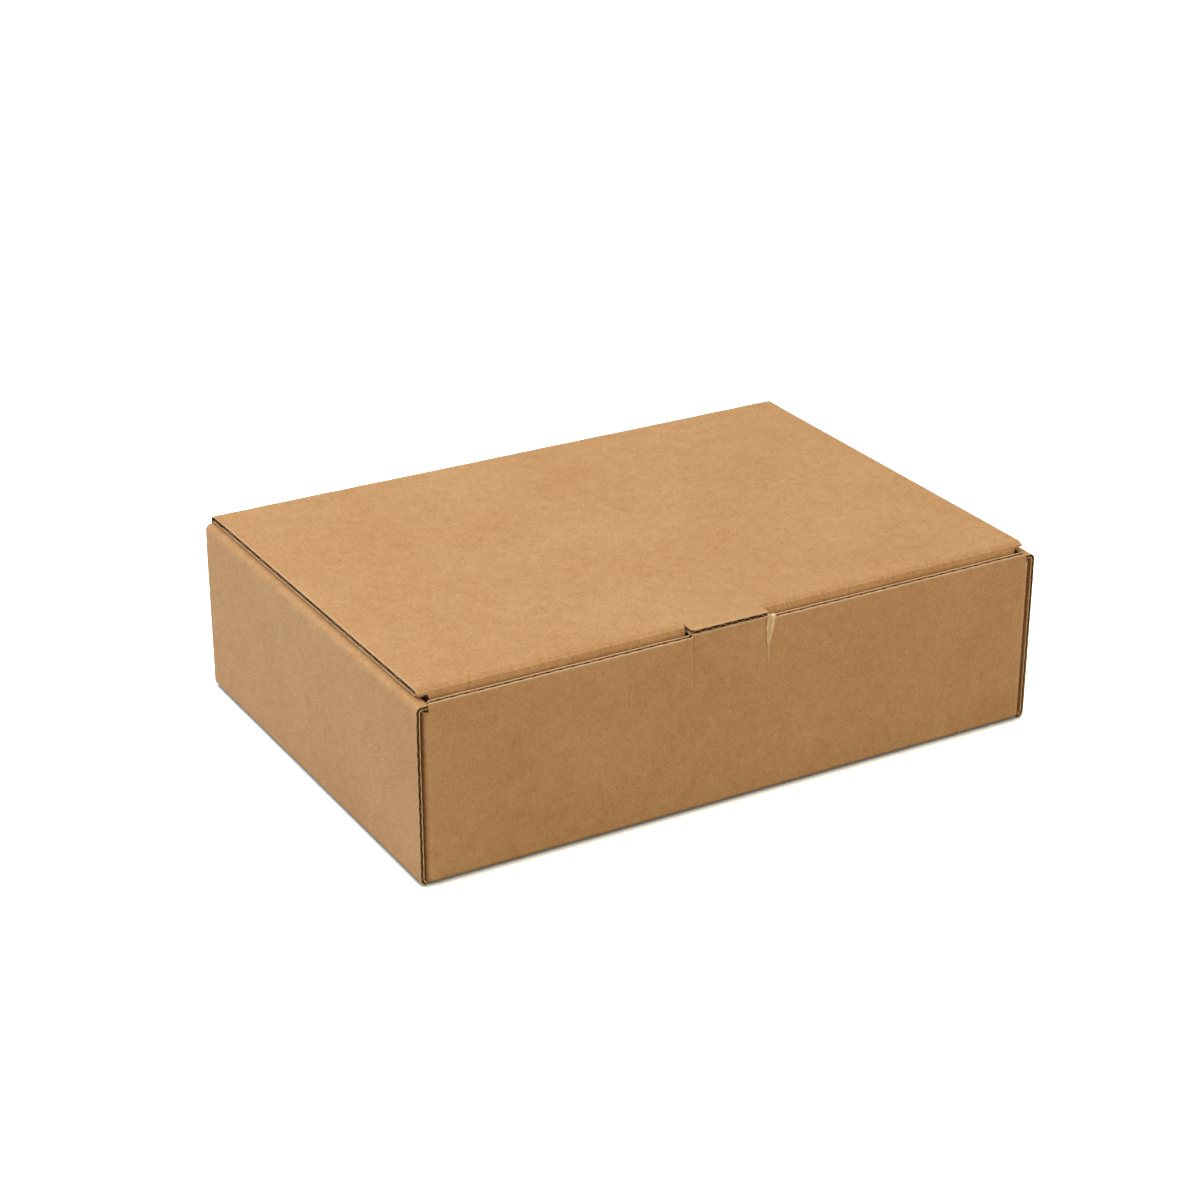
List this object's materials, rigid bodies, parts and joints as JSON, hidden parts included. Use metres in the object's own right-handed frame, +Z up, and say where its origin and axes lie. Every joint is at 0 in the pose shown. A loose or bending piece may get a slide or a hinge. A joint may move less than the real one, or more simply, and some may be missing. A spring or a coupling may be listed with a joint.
{
  "type": "closed cardboard mailer box",
  "caption": "Shallow rectangular mailer box in brown corrugated board with rolled end walls, a hinged lid whose front edge tucks in, and a finger tab.",
  "frame": {"origin": "middle of the underside, on the surface that the box stands on", "axes": "+X along the long side, to the right of somebody facing the front wall with the finger tab; +Y from the front wall to the rear wall, where the lid is creased; +Z up"},
  "size_m": [0.32, 0.222, 0.089],
  "materials": {
    "kraft_board": "matt brown kraft paper over B-flute corrugated board"
  },
  "bodies": {
    "box": {"tray": "kraft_board"},
    "lid": {"lid": "kraft_board"}
  },
  "joints": [
    {"name": "lid_hinge", "type": "hinge", "parent": "box", "child": "lid", "pos_m": [0, 0.1095, 0.0875], "axis": [-1, 0, 0], "range_deg": [0, 175]}
  ]
}
